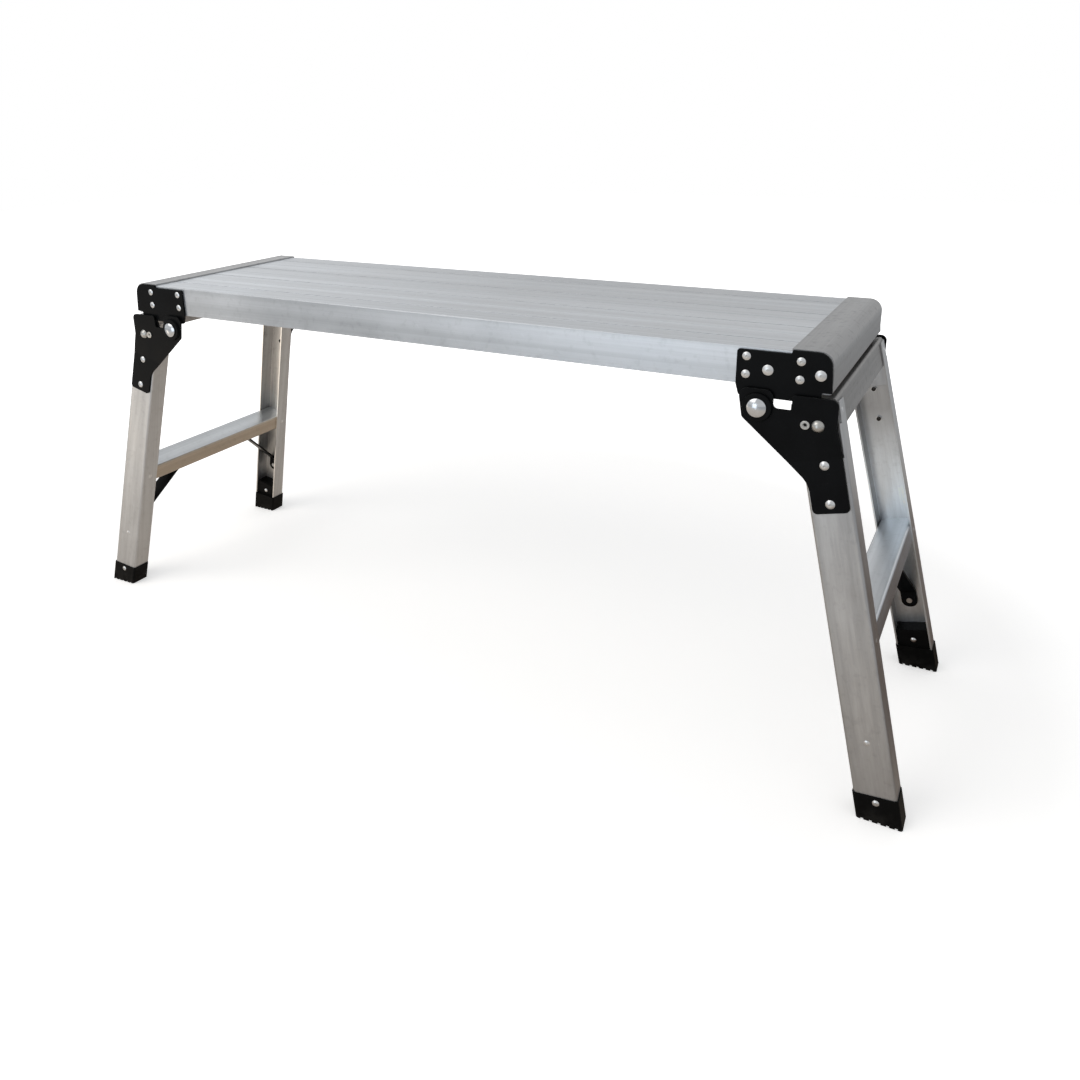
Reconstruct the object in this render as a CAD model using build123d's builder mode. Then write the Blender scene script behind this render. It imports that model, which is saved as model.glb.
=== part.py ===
from build123d import *
import os
from math import asin, cos, hypot, radians, sin, tan

# Folding aluminium work platform: a plank deck on two leg frames that fold in under it.
# Millimetres. +X runs along the deck, the front side is -Y, +Z is up and the floor is Z = 0.
# Everything is drawn for the right-hand end or its front corner and mirrored to the others.

# Deck
deck_length = 1000.0
deck_height = 500.0
deck_depth = 40.0
plank_count = 4
plank_width = 75.0
plank_skin = 2.2
plank_wall = 2.5
plank_lip = 14.0
plank_lip_thickness = 2.0
joint_chamfer = 1.0
tread_groove_width = 2.4
tread_groove_depth = 0.9

# End caps
cap_wall = 2.0
cap_width = 42.0
cap_corner_radius = 15.0
cap_bottom_radius = 3.0
plank_setback = 20.0
cap_relief = 0.3
cap_relief_gap = 0.5
screw_boss_inset = 12.0
screw_boss_radius = 6.0
cap_rivet_inset = 32.0

# Leg frames
leg_splay = 13.7
leg_flare = 3.8
leg_width = 44.0
leg_depth = 27.0
leg_wall = 2.0
leg_corner_radius = 3.0
leg_top = 22.0
pivot_inset = 10.0
swing_clearance = 0.9
tube_height = 25.0
tube_wall = 1.8
tube_corner_radius = 3.0
crossbar_top = 25.0
crossbar_height = 33.0
crossbar_depth = 25.0
crossbar_wall = 2.5
rung_height = 195.0

# Braces under the rungs
brace_width = 20.0
brace_thickness = 3.0
brace_bend_radius = 6.0
brace_end_flat = 0.6
brace_foot = 24.0
brace_top_reach = 80.0
brace_rivet_height = 90.0

# Hinge plates
plate_thickness = 2.5
plate_reach = 97.0
plate_top_gap = 3.0
plate_rise = 22.0
plate_corner_radius = 3.0
plate_flare = 3.5
plate_end_gap = 3.0
plate_rim_gap = 1.0
plate_step_radius = 1.0
ear_radius = 34.0
ear_outer_radius = 19.0
ear_half_width = 17.0
ear_inner_reach = 28.5
ear_corner_radius = 4.0
ear_clearance = 0.4
bend_clearance = 1.5
sweep_gap = 0.4
strip_half_width = 18.7
strip_start = 22.0
strip_length = 92.0
strip_radius = 5.0
wing_reach = 87.5
wing_end = 59.0
wing_radius = 30.0
lobe_inset = 56.0
lobe_reach = 93.0
lobe_radius = 9.0
notch_rise = 13.0
notch_radius = 5.0
shoulder_rise = 29.5
shoulder_inset = 37.0
shoulder_overhang = 8.5
shoulder_radius = 7.0

# Rivets and pins
small_rivet_radius = 4.4
large_rivet_radius = 5.6
rivet_head = 1.3
rivet_shank = 2.4
rivet_tail = 1.5
rivet_tail_radius = 3.6
deck_rivet_insets = (32.0, 87.0)
deck_rivet_drops = (10.0, 29.0)
large_rivet_inset = 64.5
large_rivet_drop = 22.5
boss_rivet_grip = 24.0
leg_rivet_below_bend = 6.2
leg_rivet_inset = 9.5
leg_rivet_radius = 4.8
leg_rivet_head = 2.0
tube_rivet_setback = 14.0
crossbar_rivet_rise = 10.0
tube_rivet_radius = 3.4
tube_rivet_head = 0.6
brace_rivet_radius = 3.2
brace_rivet_head = 0.8
pin_radius = 4.5
pin_head_radius = 6.5
pin_head = 3.6
pin_collar = 3.0
pin_fit = 0.05
running_gap = 0.1
spacer_radius = 10.5
stud_offset = 12.5
stud_radius = 4.8
stud_head = 1.3

# Lock knobs
lock_reach = 61.6
lock_rise = 12.5
knob_radius = 10.0
knob_rim = 1.0
knob_dome = 2.8
knob_gap = 0.3
stem_radius = 4.4
seat_radius = 7.6
seat_thickness = 1.1
seat_fit = 0.4
housing_radius = 16.0
housing_height = 3.2
housing_wall = 1.0
housing_skirt = 3.2
housing_taper = 1.0
spring_wire = 0.9
spring_turns = 2.5

# Feet
boot_wall = 1.2
boot_height = 30.5
boot_tilt = 5.0
boot_corner_radius = 3.0
tongue_height = 56.0
tongue_recess = 3.0
sole_thickness = 9.0
tread_count = 5
tread_width = 3.0
tread_depth = 1.6
foot_rivet_height = 23.5
tongue_rivet_height = 41.0
foot_rivet_grip = 10.0
foot_rivet_radius = 3.6
foot_rivet_head = 1.4

# Derived levels and reaches
splay = radians(leg_splay)
flare = radians(leg_flare)
deck_end = deck_length / 2
half_width = plank_count * plank_width / 2
deck_bottom = deck_height - deck_depth
tube_width = leg_width - 2 * leg_wall
crossbar_corner = hypot(tube_width / 2 - tube_corner_radius, crossbar_top - tube_corner_radius)
swing_radius = max(hypot(leg_width / 2, leg_top), crossbar_corner + tube_corner_radius)
pivot_drop = cap_wall + swing_radius + swing_clearance
pivot_x = deck_end - pivot_inset
pivot_z = deck_bottom - pivot_drop
plate_bottom = pivot_z + plate_rise
deck_plate_face = half_width + plate_thickness
leg_plate_back = deck_plate_face + rivet_head + sweep_gap
leg_plate_face = leg_plate_back + plate_thickness
bend_down = ear_radius + bend_clearance
web_reach = leg_plate_back - bend_down * tan(flare)
ear_back = half_width - ear_clearance
web_notch = (leg_plate_back - ear_back) * cos(flare)
leg_rivet_downs = (bend_down + leg_rivet_below_bend, strip_length - leg_rivet_inset)
crossbar_reach = ear_back - leg_wall - ear_clearance


# Directions and planes of the right-hand leg frame and of its front leg
across = Vector(cos(splay), 0, sin(splay))
upward = Vector(-sin(splay), 0, cos(splay))
pivot_centre = Vector(pivot_x, 0, pivot_z)
frame_plane = Plane(origin=pivot_centre, x_dir=across, z_dir=upward)
section_plane = Plane(origin=pivot_centre, x_dir=across, z_dir=(0, -1, 0))
bend_plane = Plane(origin=pivot_centre, x_dir=(0, 1, 0), z_dir=across)
web_upward = upward * cos(flare) + Vector(0, sin(flare), 0)
leg_plane = Plane(origin=(pivot_x, -web_reach, pivot_z), x_dir=across, z_dir=web_upward)
leg_inward = leg_plane.y_dir


def down_to(height):
    """Distance along the splayed leg axis from the pivot down to a height above the floor."""
    return (pivot_z - height) / cos(splay)


def from_end(inset, height):
    """Side-view point at an inset from the right-hand end of the deck."""
    return (deck_end - inset, height)


def on_leg(side, down):
    """Side-view point beside the leg axis (outward positive) and down it from the pivot."""
    point = pivot_centre + across * side - upward * down
    return (point.X, point.Z)


def web_face(down):
    """Reach of the leg web's outer face from the middle of the platform."""
    return web_reach + down * tan(flare)


def on_web(down, outward):
    """Plane on the leg axis, square to the web and lifted off its outer face."""
    origin = leg_plane.from_local_coords((0, -outward, -down / cos(flare)))
    return Plane(origin=origin, x_dir=across, z_dir=-leg_inward)


def flange_seat(side, down):
    """Plane on the outside of one flange of the leg, level with a tube between the flanges."""
    reach = web_face(down) - tube_rivet_setback
    origin = frame_plane.from_local_coords((side * leg_width / 2, -reach, -down))
    return Plane(origin=origin, x_dir=(0, 1, 0), z_dir=across * side)


def on_side(point, reach):
    """Plane on the front side facing outward at a side-view point."""
    return Plane(origin=(point[0], -reach, point[1]), x_dir=(1, 0, 0), z_dir=(0, -1, 0))


def dome(radius, base, height):
    """Arc of a shallow dome from its rim to its crown on the axis."""
    ball = (radius**2 + height**2) / (2 * height)
    half_angle = asin(radius / ball) / 2
    middle = (ball * sin(half_angle), base + height - ball + ball * cos(half_angle))
    return ThreePointArc((radius, base), middle, (0, base + height))


def rivet(head_radius, head_height, shank_radius, grip, tail_radius, tail_height):
    """Domed rivet along +Z with its head seated at Z = 0 and its tail past the grip."""
    tail_end = -grip - tail_height
    with BuildPart() as piece:
        with BuildSketch(Plane.XZ):
            with BuildLine():
                Polyline(
                    (0, head_height),
                    (0, tail_end),
                    (tail_radius, tail_end),
                    (tail_radius, -grip),
                    (shank_radius, -grip),
                    (shank_radius, 0),
                    (head_radius, 0),
                )
                dome(head_radius, 0, head_height)
            make_face()
        revolve(axis=Axis.Z)
    return piece.part


def plain_rivet(head_radius, head_height, grip):
    """Rivet with the common shank and tail."""
    return rivet(head_radius, head_height, rivet_shank, grip, rivet_tail_radius, rivet_tail)


def placed(piece, *planes):
    """Copies of a piece drawn along +Z, one on each plane."""
    with BuildPart() as group:
        with Locations(*planes):
            add(piece)
    return group


def mirrored(piece, plane):
    """The same piece on the other side of a plane."""
    with BuildPart() as copy:
        mirror(piece.part, about=plane)
    return copy


def with_mirror(piece, plane):
    """A group of pieces together with their copies across a plane."""
    with BuildPart() as group:
        add(piece.part)
        mirror(piece.part, about=plane)
    return group


def save(piece, name):
    piece.part.label = name
    export_step(piece.part, f"parts/{name}.step")


def save_ends(piece, name):
    """Write a piece of the right-hand end and its copy at the left-hand end."""
    save(piece, f"{name}_right")
    save(mirrored(piece, Plane.YZ), f"{name}_left")


def save_corners(piece, name):
    """Write a piece of the front right corner and its copies at the other corners."""
    save_ends(piece, f"{name}_front")
    save_ends(mirrored(piece, Plane.XZ), f"{name}_rear")


os.makedirs("parts", exist_ok=True)

# Deck planks: open-bottomed extrusions side by side, each with a groove along its tread
# and a shallow relief at each end where the cap goes over it
plank_names = ("front", "front_middle", "rear_middle", "rear")
plank_length = deck_length - 2 * plank_setback
relief_length = cap_width + cap_relief_gap - plank_setback
lip_gap = plank_width - 2 * (plank_wall + plank_lip)
plank_centres = [(index + 0.5) * plank_width - half_width for index in range(plank_count)]
lip_offset = plank_width / 2 - plank_wall - plank_lip / 2
lip_centres = [centre + side * lip_offset for centre in plank_centres for side in (-1, 1)]
deck_rivet_points = [
    from_end(inset, deck_height - drop) for inset in deck_rivet_insets for drop in deck_rivet_drops
]
plank_rivet_point = from_end(large_rivet_inset, deck_height - large_rivet_drop)
cap_rivet_point = from_end(screw_boss_inset, deck_height - large_rivet_drop)
lip_seats = [
    Plane(origin=(deck_end - cap_rivet_inset, y, deck_bottom - cap_wall), z_dir=(0, 0, -1))
    for y in lip_centres
]

with BuildPart() as plank:
    with BuildSketch(Plane.YZ.offset(-plank_length / 2)) as profile:
        with Locations((0, deck_bottom)):
            Rectangle(plank_width, deck_depth, align=(Align.CENTER, Align.MIN))
        chamfer(profile.vertices().group_by(Axis.Y)[-1], length=joint_chamfer)
        with Locations((0, deck_bottom)):
            Rectangle(lip_gap, deck_depth / 2, align=(Align.CENTER, Align.MIN), mode=Mode.SUBTRACT)
        with Locations((0, deck_bottom + plank_lip_thickness)):
            Rectangle(
                plank_width - 2 * plank_wall,
                deck_depth - plank_skin - plank_lip_thickness,
                align=(Align.CENTER, Align.MIN),
                mode=Mode.SUBTRACT,
            )
        with Locations((0, deck_height)):
            Rectangle(tread_groove_width, 2 * tread_groove_depth, mode=Mode.SUBTRACT)
    extrude(amount=plank_length)
    for end in (-1, 1):
        with Locations(*[(end * (deck_end - cap_rivet_inset), side * lip_offset) for side in (-1, 1)]):
            Hole(rivet_shank, depth=deck_bottom + plank_lip_thickness)
        with Locations((end * plank_length / 2, 0, deck_height)):
            Box(2 * relief_length, plank_width, 2 * cap_relief, mode=Mode.SUBTRACT)

# Only the two outer planks carry rivets, in their outer walls, with a larger one at the right-hand end
with BuildPart() as outer_plank:
    with Locations((0, plank_centres[0], 0)):
        add(plank.part)
    for end in (-1, 1):
        with Locations(*[on_side((end * x, z), half_width) for x, z in deck_rivet_points]):
            Hole(rivet_shank, depth=plank_width / 2)
    with Locations(on_side(plank_rivet_point, half_width)):
        Hole(rivet_shank, depth=plank_width / 2)

for name, centre in zip(plank_names, plank_centres):
    if name == "front":
        save(outer_plank, "deck_plank_front")
    elif name == "rear":
        save(mirrored(outer_plank, Plane.XZ), "deck_plank_rear")
    else:
        with BuildPart() as inner_plank:
            with Locations((0, centre, 0)):
                add(plank.part)
        save(inner_plank, f"deck_plank_{name}")

# End cap: an extruded channel over the plank ends with a boss for the end rivets
cap_top = deck_height + cap_wall
with BuildPart() as end_cap:
    with BuildSketch(Plane.XZ) as profile:
        with BuildLine():
            FilletPolyline(
                (deck_end - cap_width, cap_top),
                (deck_end, cap_top),
                (deck_end, deck_bottom - cap_wall),
                (deck_end - cap_width, deck_bottom - cap_wall),
                radius=(0, cap_corner_radius, cap_bottom_radius, 0),
                close=True,
            )
        make_face()
        with BuildLine(mode=Mode.PRIVATE) as hollow:
            FilletPolyline(
                (deck_end - cap_width, deck_height),
                (deck_end - cap_wall, deck_height),
                (deck_end - cap_wall, deck_bottom),
                (deck_end - cap_width, deck_bottom),
                radius=(0, cap_corner_radius - cap_wall, cap_bottom_radius - cap_wall, 0),
                close=True,
            )
        make_face(hollow.line.edges(), mode=Mode.SUBTRACT)
        with Locations(cap_rivet_point):
            Circle(screw_boss_radius)
            Rectangle(screw_boss_inset - cap_wall / 2, 2 * cap_wall, align=(Align.MIN, Align.CENTER))
            Circle(rivet_shank, mode=Mode.SUBTRACT)
    extrude(amount=half_width, both=True)
    with Locations(*lip_seats):
        Hole(rivet_shank, depth=cap_wall)
save_ends(end_cap, "end_cap")

cap_rivet = plain_rivet(small_rivet_radius, rivet_head, cap_wall + plank_lip_thickness)
save(with_mirror(placed(cap_rivet, *lip_seats), Plane.YZ), "end_cap_rivets")

# Deck plate: riveted to the deck's side, with a round ear that hangs down to the pivot
with BuildPart() as deck_plate:
    with BuildSketch(Plane.XZ.offset(half_width)):
        with BuildLine():
            FilletPolyline(
                from_end(plate_reach, deck_height - plate_top_gap),
                from_end(cap_width, deck_height - plate_top_gap),
                from_end(cap_width - plate_step_radius, cap_top - plate_rim_gap),
                from_end(plate_end_gap, cap_top - plate_rim_gap),
                from_end(plate_end_gap - plate_flare, deck_bottom),
                from_end(pivot_inset, deck_bottom),
                from_end(pivot_inset, plate_bottom),
                from_end(plate_reach - plate_flare, plate_bottom),
                from_end(plate_reach, deck_bottom),
                radius=(
                    plate_corner_radius, plate_step_radius, plate_step_radius, cap_corner_radius,
                    plate_step_radius, plate_step_radius, 0, plate_corner_radius,
                    plate_corner_radius,
                ),
                close=True,
            )
        make_face()
        with BuildSketch(mode=Mode.PRIVATE) as ear:
            Circle(ear_radius)
            Rectangle(ear_radius, 2 * ear_radius, align=(Align.MIN, Align.CENTER), mode=Mode.SUBTRACT)
            Circle(ear_outer_radius)
            with Locations((-ear_inner_reach, 0)):
                Rectangle(ear_radius, 2 * ear_radius, align=(Align.MAX, Align.CENTER), mode=Mode.SUBTRACT)
            with Locations((0, -ear_half_width)):
                Rectangle(2 * ear_radius, ear_radius, align=(Align.CENTER, Align.MAX), mode=Mode.SUBTRACT)
            fillet(ear.vertices().group_by(Axis.X)[0].sort_by(Axis.Y)[0], radius=ear_corner_radius)
        with Locations((pivot_x, pivot_z)):
            add(ear.sketch)
            Circle(pin_radius + pin_fit, mode=Mode.SUBTRACT)
        with Locations(*deck_rivet_points):
            Circle(rivet_shank, mode=Mode.SUBTRACT)
    extrude(amount=plate_thickness)

# The plates of the right-hand end have two more holes, for the larger rivets
with BuildPart() as right_deck_plate:
    add(deck_plate.part)
    with Locations(*[on_side(point, deck_plate_face) for point in (plank_rivet_point, cap_rivet_point)]):
        Hole(rivet_shank, depth=plate_thickness)

left_deck_plate = mirrored(deck_plate, Plane.YZ)
for end, plate in (("left", left_deck_plate), ("right", right_deck_plate)):
    save(plate, f"deck_plate_front_{end}")
    save(mirrored(plate, Plane.XZ), f"deck_plate_rear_{end}")

small_rivet = plain_rivet(small_rivet_radius, rivet_head, plate_thickness + plank_wall)
small_seats = [on_side(point, deck_plate_face) for point in deck_rivet_points]
corner_group = with_mirror(placed(small_rivet, *small_seats), Plane.XZ)
save(with_mirror(corner_group, Plane.YZ), "deck_plate_small_rivets")

plank_rivet = plain_rivet(large_rivet_radius, rivet_head, plate_thickness + plank_wall)
plank_rivets = placed(plank_rivet, on_side(plank_rivet_point, deck_plate_face))
save(with_mirror(plank_rivets, Plane.XZ), "deck_plate_plank_rivets")

# The rivets into the end caps have a long shank with a narrower tip along the boss
drive_tip_radius = rivet_shank / 2
cap_side_rivet = rivet(
    large_rivet_radius, rivet_head, rivet_shank, boss_rivet_grip, drive_tip_radius, rivet_tail
)
cap_side_rivets = placed(cap_side_rivet, on_side(cap_rivet_point, deck_plate_face))
save(with_mirror(cap_side_rivets, Plane.XZ), "deck_plate_cap_rivets")

# Leg: a channel with its web outward, cut back at the top to clear the deck plate's ear.
# Its outer flange stays whole up to the pivot, and its web goes on behind the ear, pressed in.
leg_run = down_to(0) + leg_depth
rung_down = down_to(rung_height)
rung_rivet_seats = [flange_seat(side, rung_down) for side in (-1, 1)]
crossbar_rivet_seat = flange_seat(1, -crossbar_rivet_rise)
pivot_point = (pivot_x, pivot_z)
leg_rivet_seats = [on_web(down, 0) for down in leg_rivet_downs]
brace_rivet_seat = on_web(down_to(brace_rivet_height), 0)
foot_rivet_seat = on_web(down_to(foot_rivet_height), boot_wall)
with BuildPart() as leg:
    with BuildSketch(leg_plane.offset(-leg_run)) as profile:
        Rectangle(leg_width, leg_depth, align=(Align.CENTER, Align.MIN))
        fillet(profile.vertices().group_by(Axis.Y)[0], radius=leg_corner_radius)
        with Locations((0, leg_wall)):
            Rectangle(tube_width, leg_depth, align=(Align.CENTER, Align.MIN), mode=Mode.SUBTRACT)
    extrude(amount=leg_run + leg_top)
    split(bisect_by=Plane.XY.offset(sole_thickness), keep=Keep.TOP)
    with BuildSketch(leg_plane.offset(-bend_down / cos(flare))):
        with Locations((tube_width / 2, web_notch)):
            Rectangle(2 * leg_width, leg_depth, align=(Align.MAX, Align.MAX))
    extrude(amount=2 * bend_down, mode=Mode.SUBTRACT)
    with BuildSketch(leg_plane):
        with Locations((0, web_notch)):
            Rectangle(2 * leg_width, leg_depth, align=(Align.CENTER, Align.MAX))
    extrude(amount=2 * leg_top, mode=Mode.SUBTRACT)
    with BuildSketch(bend_plane):
        with BuildLine():
            Polyline(
                (-ear_back, leg_top),
                (-ear_back, -bend_down),
                (-leg_plate_back, -bend_down),
                (-leg_plate_back, -bend_down - leg_wall),
                (leg_wall - ear_back, -bend_down - leg_wall),
                (leg_wall - ear_back, leg_top),
                close=True,
            )
        make_face()
    extrude(amount=tube_width / 2, both=True)
    with Locations(on_side(pivot_point, ear_back)):
        Hole(pin_radius + pin_fit, depth=2 * leg_wall)
    with Locations(*leg_rivet_seats, brace_rivet_seat, foot_rivet_seat):
        Hole(rivet_shank, depth=2 * leg_wall + boot_wall)
    with Locations(*rung_rivet_seats, crossbar_rivet_seat):
        Hole(rivet_shank, depth=2 * leg_wall)
save_corners(leg, "leg")

# Top crossbar: an angle between the legs, riveted to their outer flanges
with BuildPart() as crossbar:
    with BuildSketch(section_plane):
        with BuildLine():
            FilletPolyline(
                (tube_width / 2, crossbar_top - crossbar_height),
                (tube_width / 2, crossbar_top),
                (tube_width / 2 - crossbar_depth, crossbar_top),
                radius=tube_corner_radius,
            )
            offset(amount=crossbar_wall, side=Side.LEFT)
        make_face()
    extrude(amount=crossbar_reach)
    with Locations(crossbar_rivet_seat):
        Hole(rivet_shank, depth=leg_wall + 2 * crossbar_wall)
    mirror(about=Plane.XZ)
save_ends(crossbar, "top_crossbar")

# Rung: a tube lower down, its ends cut to the flared webs
web_back = Plane(origin=leg_plane.from_local_coords((0, leg_wall, 0)), x_dir=across, z_dir=leg_inward)
brace_top_seat = bend_plane.from_local_coords(
    (-brace_top_reach + brace_foot / 2, -rung_down - tube_height / 2)
)
with BuildPart() as rung:
    with BuildSketch(section_plane):
        with Locations((0, -rung_down)):
            RectangleRounded(tube_width, tube_height, tube_corner_radius)
            RectangleRounded(
                tube_width - 2 * tube_wall, tube_height - 2 * tube_wall,
                tube_corner_radius - tube_wall, mode=Mode.SUBTRACT,
            )
    extrude(amount=web_face(rung_down))
    split(bisect_by=web_back, keep=Keep.TOP)
    with Locations(Plane(origin=brace_top_seat, x_dir=across, z_dir=-upward)):
        Hole(rivet_shank, depth=2 * tube_wall)
    with Locations(*rung_rivet_seats):
        Hole(rivet_shank, depth=2 * leg_wall + tube_wall)
    mirror(about=Plane.XZ)
save_ends(rung, "rung")

rung_rivet = plain_rivet(tube_rivet_radius, tube_rivet_head, leg_wall + tube_wall)
crossbar_rivet = plain_rivet(tube_rivet_radius, tube_rivet_head, leg_wall + crossbar_wall)
with BuildPart() as tube_rivets:
    with Locations(*rung_rivet_seats):
        add(rung_rivet)
    with Locations(crossbar_rivet_seat):
        add(crossbar_rivet)
    mirror(about=Plane.XZ)
save_ends(tube_rivets, "tube_rivets")

# Brace: a flat bar bent to lie under the rung and against the inside of the leg's web
brace_rivet_down = down_to(brace_rivet_height)
brace_end_down = brace_rivet_down + brace_width / 2
brace_bend_down = brace_end_down - brace_foot
brace_end_radius = brace_width / 2 - brace_end_flat
wall_reach = leg_wall / cos(flare)
with BuildPart() as brace:
    with BuildSketch(bend_plane):
        with BuildLine():
            FilletPolyline(
                (-brace_top_reach + brace_foot, -rung_down - tube_height / 2),
                (-brace_top_reach, -rung_down - tube_height / 2),
                (wall_reach - web_face(brace_bend_down), -brace_bend_down),
                (wall_reach - web_face(brace_end_down), -brace_end_down),
                radius=brace_bend_radius,
            )
            offset(amount=brace_thickness, side=Side.LEFT)
        make_face()
    extrude(amount=brace_width / 2, both=True)
    fillet(brace.edges().filter_by(Axis((0, 0, 0), leg_inward)), radius=brace_end_radius)
    fillet(brace.edges().filter_by(Axis((0, 0, 0), upward)), radius=brace_end_radius)
    with Locations(brace_rivet_seat):
        Hole(rivet_shank, depth=3 * brace_thickness)
    with Locations(Plane(origin=brace_top_seat, x_dir=across, z_dir=upward)):
        Hole(rivet_shank, depth=2 * brace_thickness)
save_corners(brace, "brace")

brace_rivet = plain_rivet(brace_rivet_radius, brace_rivet_head, leg_wall + brace_thickness)
brace_top_rivet = plain_rivet(brace_rivet_radius, brace_rivet_head, brace_thickness + tube_wall)
brace_under_seat = Plane(
    origin=brace_top_seat - upward * brace_thickness, x_dir=across, z_dir=-upward
)
with BuildPart() as brace_rivets:
    with Locations(brace_rivet_seat):
        add(brace_rivet)
    with Locations(brace_under_seat):
        add(brace_top_rivet)
    mirror(about=Plane.XZ)
save_ends(brace_rivets, "brace_rivets")

# Leg plate: carries the pivot and the lock, bent once to lie on the flared leg
notch_level = pivot_z + notch_rise
lobe_level = deck_bottom - cap_wall
shoulder_level = pivot_z + shoulder_rise
strip_thickness = plate_thickness * cos(flare)
leg_plate_seats = [on_web(down, strip_thickness) for down in leg_rivet_downs]
stud_point = (pivot_x - stud_offset, pivot_z)
lock_point = (pivot_x - lock_reach, pivot_z + lock_rise)
with BuildPart() as leg_plate:
    with BuildSketch(Plane.XZ):
        with BuildLine():
            FilletPolyline(
                from_end(lobe_reach, lobe_level),
                from_end(lobe_inset, lobe_level),
                from_end(lobe_inset, notch_level),
                from_end(shoulder_inset, notch_level),
                from_end(shoulder_inset, shoulder_level),
                from_end(-shoulder_overhang, shoulder_level),
                from_end(-shoulder_overhang, pivot_z),
                on_leg(strip_half_width, strip_start),
                on_leg(strip_half_width, strip_length),
                on_leg(-strip_half_width, strip_length),
                on_leg(-strip_half_width, wing_end),
                from_end(wing_reach, pivot_z),
                radius=(
                    lobe_radius, lobe_radius, notch_radius, plate_corner_radius,
                    plate_corner_radius, shoulder_radius, strip_radius, strip_radius,
                    strip_radius, strip_radius, wing_radius, strip_radius,
                ),
                close=True,
            )
        make_face()
        with Locations(pivot_point):
            Circle(pin_radius + pin_fit, mode=Mode.SUBTRACT)
        with Locations(stud_point):
            Circle(rivet_shank, mode=Mode.SUBTRACT)
        with Locations(lock_point):
            Circle(seat_radius + seat_fit, mode=Mode.SUBTRACT)
    extrude(amount=2 * leg_plate_face)
    strip_spread = web_face(2 * strip_length)
    with BuildSketch(bend_plane):
        with BuildLine():
            Polyline(
                (-leg_plate_back, strip_length),
                (-leg_plate_back, -bend_down),
                (-strip_spread, -2 * strip_length),
                (-strip_spread - plate_thickness, -2 * strip_length),
                (-leg_plate_face, -bend_down),
                (-leg_plate_face, strip_length),
                close=True,
            )
        make_face()
    extrude(amount=2 * strip_length, both=True, mode=Mode.INTERSECT)
    with Locations(*leg_plate_seats):
        Hole(rivet_shank, depth=2 * plate_thickness)
save_corners(leg_plate, "leg_plate")

leg_rivet = plain_rivet(leg_rivet_radius, leg_rivet_head, strip_thickness + leg_wall)
save_ends(with_mirror(placed(leg_rivet, *leg_plate_seats), Plane.XZ), "leg_rivets")

# Pivot pins, spacers that keep the leg plate off the rivet heads, and the studs that hold these
pin_grip = leg_plate_face - ear_back + leg_wall + running_gap
pivot_pin = rivet(pin_head_radius, pin_head, pin_radius, pin_grip, pin_head_radius, pin_collar)
pivot_seat = on_side(pivot_point, leg_plate_face)
save_ends(with_mirror(placed(pivot_pin, pivot_seat), Plane.XZ), "pivot_pins")

spacer_thickness = leg_plate_back - deck_plate_face - running_gap
with BuildPart() as spacers:
    with BuildSketch(Plane.XZ.offset(leg_plate_back - spacer_thickness)):
        with Locations((pivot_x - stud_offset / 2, pivot_z)):
            SlotCenterToCenter(stud_offset, 2 * spacer_radius)
        with Locations(pivot_point):
            Circle(pin_radius + pin_fit, mode=Mode.SUBTRACT)
        with Locations(stud_point):
            Circle(rivet_shank, mode=Mode.SUBTRACT)
    extrude(amount=spacer_thickness)
    mirror(about=Plane.XZ)
save_ends(spacers, "pivot_spacers")

with BuildPart() as stud:
    Cylinder(stud_radius, stud_head, align=(Align.CENTER, Align.CENTER, Align.MIN))
    fillet(stud.edges().group_by(Axis.Z)[-1], radius=stud_head / 2)
    Cylinder(
        rivet_shank, plate_thickness + spacer_thickness,
        align=(Align.CENTER, Align.CENTER, Align.MAX),
    )
    with Locations((0, 0, stud_head)):
        CounterSinkHole(rivet_shank / 2, rivet_shank)
stud_seat = on_side(stud_point, leg_plate_face)
save_ends(with_mirror(placed(stud.part, stud_seat), Plane.XZ), "spacer_studs")

# Lock: a housing on the leg plate, and a sprung knob that is pulled outward
lock_seat = on_side(lock_point, leg_plate_face)
housing_hollow = housing_radius - housing_skirt
with BuildPart() as housing:
    with BuildSketch(Plane.XZ):
        with BuildLine():
            FilletPolyline(
                (housing_hollow, 0),
                (housing_radius, 0),
                (housing_radius - housing_taper, housing_height),
                (stem_radius + pin_fit, housing_height),
                (stem_radius + pin_fit, housing_height - housing_wall),
                (housing_hollow, housing_height - housing_wall),
                radius=(0, 0, housing_taper, 0, 0, 0),
                close=True,
            )
        make_face()
    revolve(axis=Axis.Z)
save_corners(placed(housing.part, lock_seat), "lock_housing")

knob_base = housing_height + knob_gap
knob_edge = knob_base + knob_rim
seat_base = running_gap - plate_thickness
spring_base = seat_base + seat_thickness
with BuildPart() as knob:
    with BuildSketch(Plane.XZ):
        with BuildLine():
            Polyline(
                (0, knob_edge + knob_dome),
                (0, seat_base),
                (seat_radius, seat_base),
                (seat_radius, spring_base),
                (stem_radius, spring_base),
                (stem_radius, knob_base),
                (knob_radius, knob_base),
                (knob_radius, knob_edge),
            )
            dome(knob_radius, knob_edge, knob_dome)
        make_face()
    revolve(axis=Axis.Z)
save_corners(placed(knob.part, lock_seat), "lock_knob")

spring_height = housing_height - housing_wall - spring_base - spring_wire
with BuildPart() as spring:
    with BuildLine(Plane.XY.offset(spring_base + spring_wire / 2)) as coil:
        Helix(
            pitch=spring_height / spring_turns, height=spring_height,
            radius=(stem_radius + seat_radius) / 2,
        )
    with BuildSketch(Plane(origin=coil.line @ 0, z_dir=coil.line % 0)):
        Circle(spring_wire / 2)
    sweep()
save_corners(placed(spring.part, lock_seat), "lock_spring")

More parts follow.
